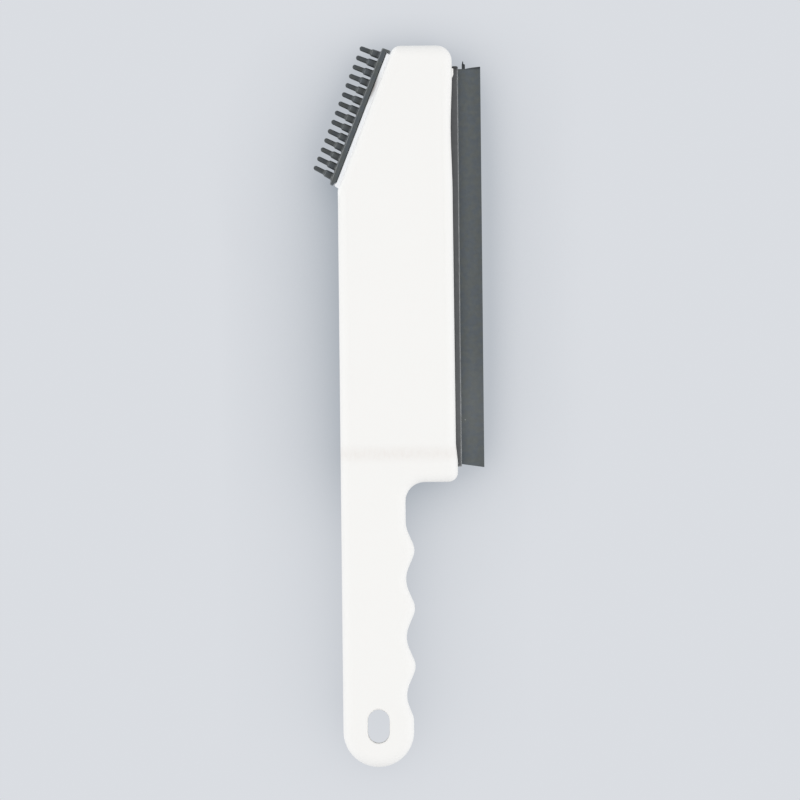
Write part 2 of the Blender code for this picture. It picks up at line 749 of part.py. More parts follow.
def nib():
    """Torn moulding gate on the blade's top edge: a stub with a pointed spike beside it."""
    edge = STRIP_HIGH - BLADE_TOP_SETBACK
    inward = (NIB_SPIKE - NIB_POINT) / 2
    stations = [(-BLADE_TOP_SETBACK, 0.0, NIB_WIDTH, NIB_THICKNESS),
                (NIB_STUB, 0.0, NIB_WIDTH, NIB_THICKNESS),
                (NIB_STUB + NIB_STEP, 0.0, NIB_SPIKE, NIB_THICKNESS),
                (NIB_LENGTH, inward, NIB_POINT, NIB_POINT_THICKNESS)]
    loops = []
    for rise, shift, width, thickness in stations:
        left, y, half = STRIP_FACE + NIB_OFFSET + shift, edge + rise, thickness / 2
        loops.append([(left, y, -half), (left, y, half),
                      (left + width, y, half), (left + width, y, -half)])
    bm = bmesh.new()
    loft(bm, loops)
    return object_from(bm, "nib")


def strip_corners():
    return [(STRIP_BACK, STRIP_LOW, LEAST_RADIUS), (STRIP_FACE, STRIP_LOW, LEAST_RADIUS),
            (STRIP_FACE, STRIP_HIGH, LEAST_RADIUS), (STRIP_BACK, STRIP_HIGH, LEAST_RADIUS)]


def squeegee(material):
    """Rubber squeegee: base strip, lip at its top, clamped rail, blade and gate nib."""
    strip = slab("squeegee", strip_corners(), STRIP_WIDTH / 2, STRIP_ROUND)
    lip_top = STRIP_HIGH + STRIP_LIP_RISE
    join(strip, box("lip", (STRIP_BACK + STRIP_LIP_REACH, lip_top - LIP_THICKNESS,
                            -STRIP_LIP_WIDTH / 2),
                    (STRIP_FACE - STRIP_LIP_SETBACK, lip_top, STRIP_LIP_WIDTH / 2)))
    low, high = STRIP_RAIL
    join(strip, box("neck", (STRIP_RAIL_FACE - RAIL_HEAD_DEPTH / 2, low + NECK_SETBACK,
                             -RAIL_NECK / 2),
                    (STRIP_BACK + STRIP_THICKNESS / 2, high - NECK_SETBACK, RAIL_NECK / 2)))
    join(strip, box("rail", (STRIP_RAIL_FACE - RAIL_HEAD_DEPTH, low, -RAIL_HEAD / 2),
                    (STRIP_RAIL_FACE, high, RAIL_HEAD / 2)))
    join(strip, blade())
    join(strip, nib())
    return finish_piece(strip, "squeegee", material)


def lay_on_ground(pieces):
    """Put the middle of the brush over the origin, with its rear face on the ground."""
    bpy.context.view_layer.update()
    points = [piece.matrix_world @ vert.co for piece in pieces for vert in piece.data.vertices]
    low = Vector(min(point[k] for point in points) for k in range(3))
    high = Vector(max(point[k] for point in points) for k in range(3))
    brush = bpy.data.objects.new("brush", None)
    bpy.context.scene.collection.objects.link(brush)
    for piece in pieces:
        piece.parent = brush
    brush.location = (-(low.x + high.x) / 2, -(low.y + high.y) / 2, -low.z)


def build():
    clear_scene()
    plastic = make_material(*WHITE_PLASTIC)
    rubber = make_material(*DARK_RUBBER)
    lay_on_ground([front_shell(plastic), rear_shell(plastic), comb_pad(rubber),
                   squeegee(rubber)])


build()
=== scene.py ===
"""Looks of the pet hair brush: satin white housing, dark rubber comb pad and squeegee.

Lengths are in metres. Rubber pieces are drawn in the drawing frame of the part, where x runs
across the brush, y from the hanging end up to the head and z through its thickness, with the
centre of the rounded hanging end at nought, and are then put in place in their meshes.
"""

import math

import bmesh
import bpy
from mathutils import Matrix, Vector
from mathutils.bvhtree import BVHTree


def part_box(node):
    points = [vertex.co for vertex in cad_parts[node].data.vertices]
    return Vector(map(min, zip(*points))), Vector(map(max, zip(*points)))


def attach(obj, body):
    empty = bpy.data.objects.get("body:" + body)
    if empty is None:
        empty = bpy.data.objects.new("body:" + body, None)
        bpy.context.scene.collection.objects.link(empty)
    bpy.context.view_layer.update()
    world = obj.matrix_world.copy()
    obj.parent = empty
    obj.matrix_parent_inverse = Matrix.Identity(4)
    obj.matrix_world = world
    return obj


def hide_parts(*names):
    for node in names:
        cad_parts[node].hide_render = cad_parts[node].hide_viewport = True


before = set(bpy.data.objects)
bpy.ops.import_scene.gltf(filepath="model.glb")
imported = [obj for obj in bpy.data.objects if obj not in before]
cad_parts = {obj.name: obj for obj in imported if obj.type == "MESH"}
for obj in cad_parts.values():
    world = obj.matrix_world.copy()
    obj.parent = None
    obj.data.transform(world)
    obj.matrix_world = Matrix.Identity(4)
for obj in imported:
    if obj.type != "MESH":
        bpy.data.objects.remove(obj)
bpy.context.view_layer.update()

# Housing sizes that the rubber pieces are drawn from
HANG_END_RADIUS = 0.01415
HEAD_TOP = 0.27405
SIDE_LEFT = -HANG_END_RADIUS
SIDE_RIGHT = SIDE_LEFT + 0.04587
WALL = 0.0024
GAP = 0.0003
COMB_ANGLE = math.radians(21.7)
COMB_FOOT = 0.2167
LAND_RISE = 0.00155
LAND_HALF = 0.0080
LAND_END = 0.0036
NOSE_TIP = 0.0016
NOSE_RAMP = 0.0009
NOSE_RISE = 0.0006

# Comb pad; the finger's tip rounding is a share of its tip's radius
PAD_THICKNESS = 0.0020
PAD_OVERHANG = 0.0007
PAD_ROUND = 0.0005
LIP_THICKNESS = 0.0010
CUSHION_HALF = 0.0074
CUSHION_REST = 0.00005
RUBBER_EDGE = 0.00018
ROW_PITCH = 0.0040
ROW_SHIFT = 0.0001
COLUMN_PITCH = 0.0038
ROW_COUNT = 14
COLUMN_COUNT = 4
FINGER_LENGTH = 0.00842
FINGER_BASE_LENGTH = 0.0032
FINGER_BASE_RADIUS = 0.00146
FINGER_TAPER = 0.00008
FINGER_SHOULDER = 0.0006
FINGER_RADIUS = 0.00097
FINGER_FLARE = 0.0003
FINGER_TIP_ROUNDING = 0.96
FINGER_SIDES = 24
FIRST_LEAN = math.radians(6.0)
LAST_LEAN = math.radians(-0.5)

# Squeegee
SEAT_DEPTH = 0.0014
STRIP_THICKNESS = 0.0037
STRIP_HALF_WIDTH = 0.0050
STRIP_LOW = 0.1056
STRIP_HIGH = HEAD_TOP - 0.00855
STRIP_LIP_HALF_WIDTH = 0.0070
STRIP_LIP_THICKNESS = 0.00055
STRIP_LIP_REACH = 0.00145
STRIP_LIP_RISE = 0.0002
STRIP_LIP_SETBACK = 0.0004
BLADE_REACH = 0.0090
BLADE_ROOT = 0.0022
BLADE_TIP = 0.0011
BLADE_LOW_SETBACK = 0.0010
BLADE_LOW_FLARE = 0.0013
BLADE_TOP_SETBACK = 0.0009
BLADE_TOP_FLARE = 0.0009
BLADE_FLARE_START = 0.0031
BLADE_FLARE_POWER = 0.6
BLADE_CUTS = 14

# Moulding gate on the blade's top edge; the spike starts at a share of the stub's height
NIB_OFFSET = 0.0016
NIB_WIDTH = 0.0013
NIB_SPIKE = 0.00080
NIB_SPIKE_START = 0.8
NIB_POINT = 0.0003
NIB_THICKNESS = 0.0011
NIB_STUB = 0.0019
NIB_LENGTH = 0.0031

# Rails that the housing clamps
RAIL_NECK = 0.0030
RAIL_HEAD = 0.0080
RAIL_HEAD_DEPTH = 0.0020
RAIL_MARGIN = 0.0065
NECK_SETBACK = 0.0006

# Places that follow from the sizes
STRIP_BACK = SIDE_RIGHT - SEAT_DEPTH + GAP
STRIP_FACE = STRIP_BACK + STRIP_THICKNESS
SLANT_LENGTH = (HEAD_TOP - COMB_FOOT) / math.cos(COMB_ANGLE)
LAND_TOP = SLANT_LENGTH - LAND_END
NOSE_TOP = NOSE_TIP + NOSE_RAMP
PAD_BACK = LAND_RISE + GAP
PAD_FACE = PAD_BACK + PAD_THICKNESS
PAD_LOW = NOSE_TIP - PAD_OVERHANG
PAD_HIGH = LAND_TOP + GAP + LIP_THICKNESS
RAIL_FACE = -WALL - GAP
ORIGIN = Vector((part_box("squeegee")[1].x - STRIP_FACE - BLADE_REACH,
                 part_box("front_shell")[0].y + HANG_END_RADIUS,
                 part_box("front_shell")[1].z / 2))

# Edge easing and mesh tolerances
SHARP_ANGLE = math.radians(40)
HOUSING_EDGE = 0.00013
HOUSING_STEPS = 2
EDGE_STEPS = 3
ROUND_STEPS = 6
MERGE = 0.000002
FLAT_ANGLE = math.radians(0.4)
SIGHT_START = GAP / 10
SIGHT_REACH = 0.05

# Noise: detail and roughness
FINE_NOISE = (3.0, 0.6)
SLOW_NOISE = (4.0, 0.55)

# White plastic: grain, bump strength and distance, its colour, and the painted light and shade
# and the marks on it
WHITE_GRAIN = {"Grain": 3500.0, "Drift": 45.0, "Tone": 0.012, "Gloss": 0.52,
               "Gloss Range": 0.10}
WHITE_BUMP = (0.25, 0.00002)
WHITE = (0.914, 0.908, 0.890)
# Painted shade of the step from head to handle, streaked like flow marks, and where it lies
STEP_SHADE = (0.855, 0.820, 0.790)
STEP_MIDDLE = 0.1110
STEP_REACH = 0.0046
STREAK_SCALE = (900.0, 120.0, 900.0)
# Painted light along the crease between the housing's rounded edge and the ledge, and where it
# lies
CREASE_LIGHT = (0.985, 0.985, 0.970)
CREASE_MIDDLE = -0.0005
CREASE_REACH = 0.0013
# Painted cool shade on the ledge beside the comb pad, and where it lies
LEDGE_SHADE = (0.890, 0.908, 0.935)
LEDGE_MIDDLE = 0.0009
LEDGE_REACH = 0.0016
# Painted shadow of the gap between the comb pad's upper part and the ledge: colour, place
# along the slanted side, length and reach
GAP_SHADOW_GREY = (0.36, 0.335, 0.32)
GAP_SHADOW_MIDDLE = 0.0432
GAP_SHADOW_LENGTH = 0.0080
GAP_SHADOW_REACH = 0.0018

# Dark rubber: grain, bump, sheen weight and roughness, and hues
RUBBER_GRAIN = {"Grain": 5000.0, "Drift": 600.0, "Tone": 0.40, "Gloss": 0.36,
                "Gloss Range": 0.08}
RUBBER_BUMP = (0.35, 0.00003)
RUBBER_SHEEN = (0.08, 0.5)
RUBBER_HUES = ((0.098, 0.110, 0.108), (0.087, 0.104, 0.118))
STRIP_HUE = (0.090, 0.0926, 0.0956)
CLOUD_SCALE = 350.0
CLOUD_MIDDLE = 0.35
CLOUD_REACH = 0.30

# Painted shade and highlight on the comb: the share of the rubber's tone kept at heights out
# of the slanted side, over a span of heights, darkest at the fingers' roots and lighter at
# their shoulders
COMB_SHADE_AND_HIGHLIGHT = ((-0.004, 1.0), (-0.001, 0.84), (0.0038, 0.82), (0.0045, 0.24), (0.0060, 0.56),
               (0.0073, 0.80), (0.0084, 0.34), (0.0100, 0.49))
DEPTH_SPAN = 0.020

# Painted shade round the gate, the lip and the blade's top edge, and at the blade's tip: where
# it lies, and the share of tone lost
GATE_MIDDLE = 0.2664
GATE_CORE = 0.0010
GATE_REACH = 0.0026
GATE_SHADE = 0.75
TIP_REACH = 0.0055
TIP_SHADE = 0.18

# Pale grey of the paler band and of the painted edge highlights, dust specks, the paler band
# towards the handle and the painted edge highlights; these highlights start at a height from
# the middle of the brush's thickness, and a band of the comb's plate is kept from them
PALE_GREY = (0.52, 0.54, 0.545)
PALE_DUST = (0.42, 0.42, 0.40)
SPECKS = {"Cells": 150.0, "Size": 0.03, "Share": 0.88}
PALE_BAND_MIDDLE = 0.1290
PALE_BAND_REACH = 0.0300
PALE_BAND_SHARE = 0.045
EDGE_HIGHLIGHT = {"Radius": 0.0007, "Patches": 300.0, "Strength": 28.0}
EDGE_HIGHLIGHT_SAMPLES = 8
PROUD_RISE = 0.0035
PLATE_KEPT = 0.0025

# Floor
FLOOR_SIZE = 6.0
FLOOR_DROP = 0.0002
FLOOR_ROUGHNESS = 0.9
FLOOR_COLOUR = (0.703, 0.725, 0.763)
SHADE_COLOUR = (0.0, 0.050, 0.100)

# Contact shadow: the share of light lost at places along the brush, and the limit to it
# beside the raised rubber, which starts at the right side and above the comb's foot
SHADOW_REACH = 0.05
SHADOW_SPAN = 0.320
SHADOW_DEPTHS = ((-0.147, 0.14), (-0.118, 0.34), (-0.054, 0.31), (-0.019, 0.78), (0.077, 0.86),
                 (0.109, 0.76), (0.144, 0.54), (0.156, 0.16))
SHADOW_RIGHT = 0.023
SHADOW_LIMIT = 0.30
SHADOW_BLEND = 0.0040
SHADOW_FOOT = 0.0080

# Floor seen through the hanging slot, and the share of its shadow that is taken away
SLOT_RISE = 0.0021
SLOT_VIEW = (0.0042, 0.0066)
SLOT_BLEND = 0.0030
SLOT_LIGHT = 0.72

# Fill light and side lamps
FILL_STRENGTH = 0.950
LAMP_POWER = 3.4
LAMP_RISE = math.radians(7)
LAMP_DISTANCE = 1.2
LAMP_SIZE = (0.12, 1.0)

# Camera: the photograph is 800 pixels wide at 0.4 mm a pixel, turned 0.6 degrees
PHOTO_WIDTH = 0.320
PHOTO_MIDDLE = Vector((0.00985, 0.13250, 0.0))
PHOTO_TURN = math.radians(-0.6)
LENS = 1000.0
SENSOR = 36.0
CLIP_START = 0.05
CLIP_END = 50.0


def link_mesh(bm, name):
    """Turn a finished bmesh into an object at the origin."""
    mesh = bpy.data.meshes.new(name)
    bm.to_mesh(mesh)
    bm.free()
    piece = bpy.data.objects.new(name, mesh)
    bpy.context.scene.collection.objects.link(piece)
    return piece


def drawn_piece(bm, name):
    """Turn a bmesh in the drawing frame into a closed piece in its place."""
    bmesh.ops.remove_doubles(bm, verts=bm.verts, dist=MERGE)
    bmesh.ops.recalc_face_normals(bm, faces=bm.faces)
    bmesh.ops.translate(bm, vec=ORIGIN, verts=bm.verts)
    return link_mesh(bm, name)


def add_block(bm, low, high, place=Matrix.Identity(4)):
    """Block between two corners, put in a place."""
    low, high = Vector(low), Vector(high)
    size = Matrix.Diagonal((*(high - low), 1.0))
    middle = Matrix.Translation((low + high) / 2)
    bmesh.ops.create_cube(bm, size=1.0, matrix=place @ middle @ size)


def union(target, tools):
    """Fuse tools into the target and use them up."""
    for tool in tools:
        modifier = target.modifiers.new("union", "BOOLEAN")
        modifier.operation = "UNION"
        modifier.solver = "EXACT"
        modifier.object = tool
    bpy.context.view_layer.update()
    shaped = target.evaluated_get(bpy.context.evaluated_depsgraph_get())
    mesh = bpy.data.meshes.new_from_object(shaped)
    target.modifiers.clear()
    target.data = mesh
    for tool in tools:
        bpy.data.objects.remove(tool, do_unlink=True)


def smooth_faces(piece):
    """Keep flat faces flat and round ones round where they meet."""
    piece.data.shade_smooth()
    piece.data.set_sharp_from_angle(angle=SHARP_ANGLE)
    modifier = piece.modifiers.new("face_normals", "WEIGHTED_NORMAL")
    modifier.mode = "FACE_AREA"
    modifier.keep_sharp = True


def ease_edges(piece, width):
    """Round the sharp edges of a moulded piece and shade it smoothly."""
    modifier = piece.modifiers.new("eased_edges", "BEVEL")
    modifier.width = width
    modifier.segments = EDGE_STEPS
    modifier.limit_method = "ANGLE"
    modifier.angle_limit = SHARP_ANGLE
    modifier.use_clamp_overlap = False
    modifier.material = -1
    smooth_faces(piece)


def whole_brush():
    """Search tree of every CAD solid, to find which edges can be seen from outside."""
    bm = bmesh.new()
    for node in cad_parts.values():
        bm.from_mesh(node.data)
    solids = BVHTree.FromBMesh(bm)
    bm.free()
    return solids


def in_sight(edge, solids):
    """Whether a convex sharp edge can be seen from outside the brush."""
    if len(edge.link_faces) != 2 or edge.calc_face_angle_signed(0.0) < SHARP_ANGLE:
        return False
    outward = (edge.link_faces[0].normal + edge.link_faces[1].normal).normalized()
    middle = (edge.verts[0].co + edge.verts[1].co) / 2
    return solids.ray_cast(middle + outward * SIGHT_START, outward, SIGHT_REACH)[0] is None


def housing_half(node, name, solids):
    """Moulded shell from the CAD shell: flat facets merged, edges in sight eased."""
    bm = bmesh.new()
    bm.from_mesh(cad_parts[node].data)
    bmesh.ops.remove_doubles(bm, verts=bm.verts, dist=MERGE)
    bmesh.ops.dissolve_limit(bm, angle_limit=FLAT_ANGLE, verts=bm.verts, edges=bm.edges)
    bm.normal_update()
    edges = [edge for edge in bm.edges if in_sight(edge, solids)]
    bmesh.ops.bevel(bm, geom=edges, offset=HOUSING_EDGE, segments=HOUSING_STEPS, profile=0.5,
                    affect="EDGES", clamp_overlap=False, material=-1)
    piece = link_mesh(bm, name)
    smooth_faces(piece)
    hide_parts(node)
    return piece


def slant_place():
    """Frame of the slanted side: x up along it, y out of it, z as the body's."""
    turn = Matrix.Rotation(math.pi / 2 - COMB_ANGLE, 4, "Z")
    return Matrix.Translation((SIDE_LEFT, COMB_FOOT, 0)) @ turn


def round_corner(bm, vert, radius, segments):
    """Round a corner between two edges of an outline."""
    ways = [(edge.other_vert(vert).co - vert.co).normalized() for edge in vert.link_edges]
    inner = ways[0].angle(ways[1])
    reach = radius / math.tan(inner / 2)
    bmesh.ops.bevel(bm, geom=[vert], offset=reach, segments=segments, profile=0.5,
                    affect="VERTICES", material=-1)


def finger_profile(bm):
    """Side line of a finger from the middle of its root to its tip, as radius, height and
    rounding of each corner."""
    root = FINGER_BASE_RADIUS + FINGER_FLARE
    base = FINGER_BASE_RADIUS - FINGER_TAPER
    tip = FINGER_RADIUS - FINGER_TAPER
    places = [(0, -PAD_THICKNESS / 2, 0),
              (root, -PAD_THICKNESS / 2, 0),
              (root, -FINGER_FLARE / 4, 0),
              (FINGER_BASE_RADIUS, FINGER_FLARE, FINGER_FLARE),
              (base, FINGER_BASE_LENGTH, FINGER_FLARE / 2),
              (FINGER_RADIUS, FINGER_BASE_LENGTH + FINGER_SHOULDER, FINGER_FLARE),
              (tip, FINGER_LENGTH, tip * FINGER_TIP_ROUNDING),
              (0, FINGER_LENGTH, 0)]
    verts = [bm.verts.new((radius, height, 0)) for radius, height, _ in places]
    for pair in zip(verts, verts[1:]):
        bm.edges.new(pair)
    for vert, (_, _, rounding) in zip(verts, places):
        if rounding:
            steps = ROUND_STEPS if rounding > FINGER_FLARE else EDGE_STEPS
            round_corner(bm, vert, rounding, steps)


def finger_mesh():
    """Mesh of one upright finger, turned from its side line."""
    bm = bmesh.new()
    finger_profile(bm)
    bmesh.ops.spin(bm, geom=bm.verts[:] + bm.edges[:], cent=(0, 0, 0), axis=(0, 1, 0),
                   angle=2 * math.pi, steps=FINGER_SIDES, use_merge=True)
    bmesh.ops.remove_doubles(bm, verts=bm.verts, dist=MERGE)
    mesh = bpy.data.meshes.new("finger")
    bm.to_mesh(mesh)
    bm.free()
    return mesh


def fingers(place):
    """All fingers of the comb, in rows along the slant and columns across it."""
    single = finger_mesh()
    bm = bmesh.new()
    middle = (PAD_LOW + PAD_HIGH) / 2 + ROW_SHIFT
    for row in range(ROW_COUNT):
        lean = FIRST_LEAN + (LAST_LEAN - FIRST_LEAN) * row / (ROW_COUNT - 1)
        along = middle + (row - (ROW_COUNT - 1) / 2) * ROW_PITCH
        for column in range(COLUMN_COUNT):
            across = (column - (COLUMN_COUNT - 1) / 2) * COLUMN_PITCH
            before = set(bm.verts)
            bm.from_mesh(single)
            added = [vert for vert in bm.verts if vert not in before]
            stand = Matrix.Translation((along, PAD_FACE, across))
            bmesh.ops.transform(bm, matrix=place @ stand @ Matrix.Rotation(-lean, 4, "Z"),
                                verts=added)
    bpy.data.meshes.remove(single)
    return drawn_piece(bm, "fingers")


def pad_plate(place, name):
    """Plate of the comb pad with its notch for the nose and its lip over the ledge's end, as
    places along and out of the slanted side and rounding of each corner."""
    tip = PAD_BACK + NOSE_RISE
    places = [(PAD_LOW, tip, 0), (NOSE_TIP + GAP / 2, tip, 0),
              (NOSE_TOP + GAP / 2, PAD_BACK, 0), (LAND_TOP + GAP, PAD_BACK, 0),
              (LAND_TOP + GAP, GAP, 0), (PAD_HIGH, GAP, 0),
              (PAD_HIGH, PAD_FACE, PAD_ROUND), (PAD_LOW, PAD_FACE, PAD_ROUND)]
    bm = bmesh.new()
    verts = [bm.verts.new((along, out, -LAND_HALF)) for along, out, _ in places]
    bm.faces.new(verts)
    for vert, (_, _, rounding) in zip(verts, places):
        if rounding:
            round_corner(bm, vert, rounding, ROUND_STEPS)
    raised = bmesh.ops.extrude_face_region(bm, geom=bm.faces[:])["geom"]
    top = [item for item in raised if isinstance(item, bmesh.types.BMVert)]
    bmesh.ops.translate(bm, vec=(0, 0, 2 * LAND_HALF), verts=top)
    bmesh.ops.transform(bm, matrix=place, verts=bm.verts)
    return drawn_piece(bm, name)


def comb_pad():
    """Rubber comb pad: plate with the cushion that rests on the ledge, clamped rail and
    stepped fingers as one moulding."""
    place = slant_place()
    low, high = PAD_LOW + RAIL_MARGIN, PAD_HIGH - RAIL_MARGIN
    cushion, neck, rail = (bmesh.new() for _ in range(3))
    add_block(cushion, (NOSE_TOP + GAP, LAND_RISE + CUSHION_REST, -CUSHION_HALF),
              (LAND_TOP, PAD_BACK + PAD_THICKNESS / 2, CUSHION_HALF), place)
    add_block(neck, (low + NECK_SETBACK, RAIL_FACE - RAIL_HEAD_DEPTH / 2, -RAIL_NECK / 2),
              (high - NECK_SETBACK, PAD_BACK + PAD_THICKNESS / 2, RAIL_NECK / 2), place)
    add_block(rail, (low, RAIL_FACE - RAIL_HEAD_DEPTH, -RAIL_HEAD / 2),
              (high, RAIL_FACE, RAIL_HEAD / 2), place)
    piece = pad_plate(place, "comb_pad_rubber")
    union(piece, [drawn_piece(cushion, "cushion"), drawn_piece(neck, "neck"),
                  drawn_piece(rail, "rail"), fingers(place)])
    ease_edges(piece, RUBBER_EDGE)
    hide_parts("comb_pad")
    return piece


def blade():
    """Thin blade whose lower end slopes out and whose upper end curves out past the gate. It
    is drawn one metre thick, and its thickness is then scaled at each cut."""
    low, high = STRIP_LOW + BLADE_LOW_SETBACK, STRIP_HIGH - BLADE_TOP_SETBACK
    start, end = STRIP_FACE - STRIP_THICKNESS / 2, STRIP_FACE + BLADE_REACH
    curved = BLADE_REACH - BLADE_FLARE_START
    bm = bmesh.new()
    add_block(bm, (start, low, -0.5), (end, high, 0.5))
    cuts = [0.0] + [BLADE_FLARE_START + curved * (step / BLADE_CUTS) ** 2
                    for step in range(BLADE_CUTS)]
    for reach in cuts:
        geometry = bm.verts[:] + bm.edges[:] + bm.faces[:]
        bmesh.ops.bisect_plane(bm, geom=geometry, dist=MERGE, plane_no=(1, 0, 0),
                               plane_co=(STRIP_FACE + reach, 0, 0))
    for vert in bm.verts:
        reach = max(vert.co.x - STRIP_FACE, 0.0)
        share = reach / BLADE_REACH
        rise = (max(reach - BLADE_FLARE_START, 0.0) / curved) ** BLADE_FLARE_POWER
        upper = vert.co.y > (low + high) / 2
        vert.co.y += BLADE_TOP_FLARE * rise if upper else -BLADE_LOW_FLARE * share
        vert.co.z *= BLADE_ROOT + (BLADE_TIP - BLADE_ROOT) * share
    return drawn_piece(bm, "blade")


def nib():
    """Torn moulding gate: a stub with a pointed spike beside it."""
    left = STRIP_FACE + NIB_OFFSET
    foot = STRIP_HIGH - 2 * BLADE_TOP_SETBACK
    edge = STRIP_HIGH - BLADE_TOP_SETBACK
    stub, spike = bmesh.new(), bmesh.new()
    add_block(stub, (left, foot, -NIB_THICKNESS / 2),
              (left + NIB_WIDTH, edge + NIB_STUB, NIB_THICKNESS / 2))
    add_block(spike, (left, edge + NIB_STUB * NIB_SPIKE_START, -NIB_THICKNESS / 2),
              (left + NIB_SPIKE, edge + NIB_LENGTH, NIB_THICKNESS / 2))
    middle = left + NIB_SPIKE / 2
    for vert in spike.verts:
        if vert.co.y > edge + NIB_STUB:
            vert.co.x = middle + (vert.co.x - middle) * NIB_POINT / NIB_SPIKE
            vert.co.z *= NIB_POINT / NIB_SPIKE
    return [drawn_piece(stub, "stub"), drawn_piece(spike, "spike")]


def squeegee():
    """Rubber squeegee: base strip, lip, clamped rail, blade and gate as one moulding."""
    low, high = STRIP_LOW + RAIL_MARGIN, STRIP_HIGH - RAIL_MARGIN
    rail_face = SIDE_RIGHT + RAIL_FACE
    lip_top = STRIP_HIGH + STRIP_LIP_RISE
    strip, lip, neck, rail = (bmesh.new() for _ in range(4))
    add_block(strip, (STRIP_BACK, STRIP_LOW, -STRIP_HALF_WIDTH),
              (STRIP_FACE, STRIP_HIGH, STRIP_HALF_WIDTH))
    add_block(lip, (STRIP_BACK + STRIP_LIP_REACH, lip_top - STRIP_LIP_THICKNESS,
                    -STRIP_LIP_HALF_WIDTH),
              (STRIP_FACE - STRIP_LIP_SETBACK, lip_top, STRIP_LIP_HALF_WIDTH))
    add_block(neck, (rail_face - RAIL_HEAD_DEPTH / 2, low + NECK_SETBACK, -RAIL_NECK / 2),
              (STRIP_BACK + STRIP_THICKNESS / 2, high - NECK_SETBACK, RAIL_NECK / 2))
    add_block(rail, (rail_face - RAIL_HEAD_DEPTH, low, -RAIL_HEAD / 2),
              (rail_face, high, RAIL_HEAD / 2))
    piece = drawn_piece(strip, "squeegee_rubber")
    union(piece, [drawn_piece(lip, "lip"), drawn_piece(neck, "neck"),
                  drawn_piece(rail, "rail"), blade(), *nib()])
    ease_edges(piece, RUBBER_EDGE)
    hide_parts("squeegee")
    return piece


def feed(tree, value, socket):
    """Link a socket to the one that makes its value, or set it to a plain value."""
    if isinstance(value, bpy.types.NodeSocket):
        tree.links.new(value, socket)
    else:
        socket.default_value = value


def math_node(tree, operation, *values, clamp=False):
    """Math node fed by sockets or numbers; returns its output."""
    node = tree.nodes.new("ShaderNodeMath")
    node.operation = operation
    node.use_clamp = clamp
    for socket, value in zip(node.inputs, values):
        feed(tree, value, socket)
    return node.outputs[0]


def noise(tree, vector, scale, detail=2.0, roughness=0.5):
    """Soft noise between nought and one; the scale is in cells a metre."""
    node = tree.nodes.new("ShaderNodeTexNoise")
    for name, value in (("Vector", vector), ("Scale", scale), ("Detail", detail),
                        ("Roughness", roughness)):
        feed(tree, value, node.inputs[name])
    return node.outputs["Fac"]


def split_place(tree, vector):
    """The three numbers of a place."""
    node = tree.nodes.new("ShaderNodeSeparateXYZ")
    tree.links.new(vector, node.inputs[0])
    return node.outputs


def node_group(name, inputs, outputs):
    """Empty shader node group with a vector input and numbers as its other sockets."""
    group = bpy.data.node_groups.new(name, "ShaderNodeTree")
    group.interface.new_socket("Vector", in_out="INPUT", socket_type="NodeSocketVector")
    for way, sockets in (("INPUT", inputs), ("OUTPUT", outputs)):
        for socket in sockets:
            group.interface.new_socket(socket, in_out=way, socket_type="NodeSocketFloat")
    given = group.nodes.new("NodeGroupInput").outputs
    result = group.nodes.new("NodeGroupOutput").inputs
    return group, given, result


def grain_group():
    """Fine moulded grain: a height for bump and a slow drift of tone and gloss."""
    group, given, result = node_group("moulded_grain",
                                      ("Grain", "Drift", "Tone", "Gloss", "Gloss Range"),
                                      ("Height", "Tone", "Roughness"))
    fine = noise(group, given["Vector"], given["Grain"], *FINE_NOISE)
    slow = noise(group, given["Vector"], given["Drift"], *SLOW_NOISE)
    swing = math_node(group, "SUBTRACT", slow, 0.5)
    tone = math_node(group, "MULTIPLY_ADD", swing, given["Tone"], 1.0)
    gloss = math_node(group, "MULTIPLY_ADD", swing, given["Gloss Range"], given["Gloss"])
    group.links.new(fine, result["Height"])
    group.links.new(tone, result["Tone"])
    group.links.new(gloss, result["Roughness"])
    return group


def edge_highlight_group():
    """Painted highlights on edges: pale where the surface turns within a small radius, in
    patches.
    """
    group, given, result = node_group("painted_edge_highlights", ("Radius", "Patches", "Strength"),
                                      ("Mask",))
    rounded = group.nodes.new("ShaderNodeBevel")
    rounded.samples = EDGE_HIGHLIGHT_SAMPLES
    group.links.new(given["Radius"], rounded.inputs["Radius"])
    surface = group.nodes.new("ShaderNodeNewGeometry")
    along = group.nodes.new("ShaderNodeVectorMath")
    along.operation = "DOT_PRODUCT"
    group.links.new(rounded.outputs["Normal"], along.inputs[0])
    group.links.new(surface.outputs["Normal"], along.inputs[1])
    turned = math_node(group, "SUBTRACT", 1.0, along.outputs["Value"])
    patches = noise(group, given["Vector"], given["Patches"])
    strength = math_node(group, "MULTIPLY", patches, given["Strength"])
    group.links.new(math_node(group, "MULTIPLY", turned, strength, clamp=True), result["Mask"])
    return group


def specks_group():
    """Sparse pale specks of lint: one small dot in a few of the cells of a coarse pattern."""
    group, given, result = node_group("dust_specks", ("Cells", "Size", "Share"), ("Mask",))
    cells = group.nodes.new("ShaderNodeTexVoronoi")
    group.links.new(given["Vector"], cells.inputs["Vector"])
    group.links.new(given["Cells"], cells.inputs["Scale"])
    split = group.nodes.new("ShaderNodeSeparateColor")
    group.links.new(cells.outputs["Color"], split.inputs["Color"])
    near = math_node(group, "LESS_THAN", cells.outputs["Distance"], given["Size"])
    picked = math_node(group, "GREATER_THAN", split.outputs[0], given["Share"])
    group.links.new(math_node(group, "MULTIPLY", near, picked), result["Mask"])
    return group


def new_material(name):
    """New material, its node tree, its main shader and the place on the piece."""
    material = bpy.data.materials.new(name)
    material.use_nodes = True
    tree = material.node_tree
    place = tree.nodes.new("ShaderNodeTexCoord").outputs["Object"]
    return material, tree, tree.nodes["Principled BSDF"], place


